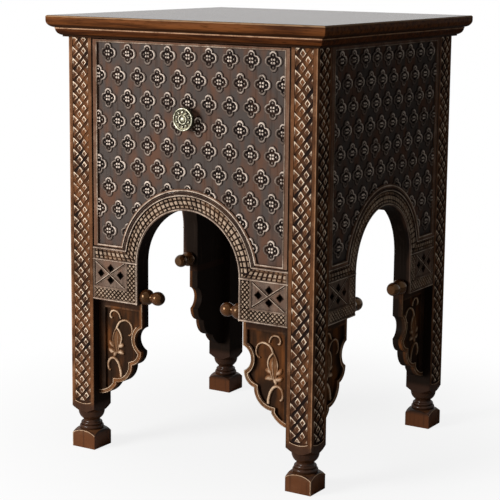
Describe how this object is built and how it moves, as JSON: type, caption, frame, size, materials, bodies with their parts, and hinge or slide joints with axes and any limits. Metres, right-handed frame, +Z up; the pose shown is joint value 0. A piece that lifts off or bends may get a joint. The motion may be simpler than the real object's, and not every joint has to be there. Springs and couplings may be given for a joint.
{
  "type": "bedside table",
  "caption": "Square carved wooden bedside table with arched sides, turned feet, scalloped brackets, a moulded top and a drawer with a brass rosette knob.",
  "frame": {"origin": "on the floor under the middle of the table", "axes": "+X to the right seen from the front, +Y to the back, +Z up"},
  "size_m": [0.45, 0.45, 0.63],
  "materials": {
    "carved_wood": "dark red-brown stain, rubbed back on the raised edges",
    "polished_top": "dark red-brown stain, satin polish",
    "plain_wood": "bare planed wood",
    "aged_brass": "aged, bright on the raised parts",
    "screw_steel": "plain"
  },
  "bodies": {
    "carcass": {"top_board": "polished_top", "cornice_front": "polished_top", "cornice_back": "polished_top", "cornice_left": "polished_top", "cornice_right": "polished_top", "post_front_left": "carved_wood", "post_front_right": "carved_wood", "post_back_left": "carved_wood", "post_back_right": "carved_wood", "arch_frame_front": "carved_wood", "arch_frame_left": "carved_wood", "arch_frame_right": "carved_wood", "side_panel_left": "carved_wood", "side_panel_right": "carved_wood", "bracket_front_left": "carved_wood", "bracket_front_right": "carved_wood", "bracket_left_back": "carved_wood", "bracket_left_front": "carved_wood", "bracket_right_front": "carved_wood", "bracket_right_back": "carved_wood", "finial_front_left": "carved_wood", "finial_front_right": "carved_wood", "finial_left_back": "carved_wood", "finial_left_front": "carved_wood", "finial_right_front": "carved_wood", "finial_right_back": "carved_wood", "front_rail": "carved_wood", "back_panel": "carved_wood", "drawer_runner_left": "plain_wood", "drawer_runner_right": "plain_wood", "drawer_kicker_left": "plain_wood", "drawer_kicker_right": "plain_wood", "drawer_stop_left": "plain_wood", "drawer_stop_right": "plain_wood", "post_dowels": "plain_wood", "top_screws": "screw_steel"},
    "drawer": {"drawer_front": "carved_wood", "drawer_side_left": "plain_wood", "drawer_side_right": "plain_wood", "drawer_back": "plain_wood", "drawer_bottom": "plain_wood", "drawer_knob": "aged_brass", "knob_screw": "screw_steel"}
  },
  "joints": [
    {"name": "drawer_slide", "type": "slide", "parent": "carcass", "child": "drawer", "axis": [0, -1, 0], "range_m": [0, 0.26]}
  ]
}
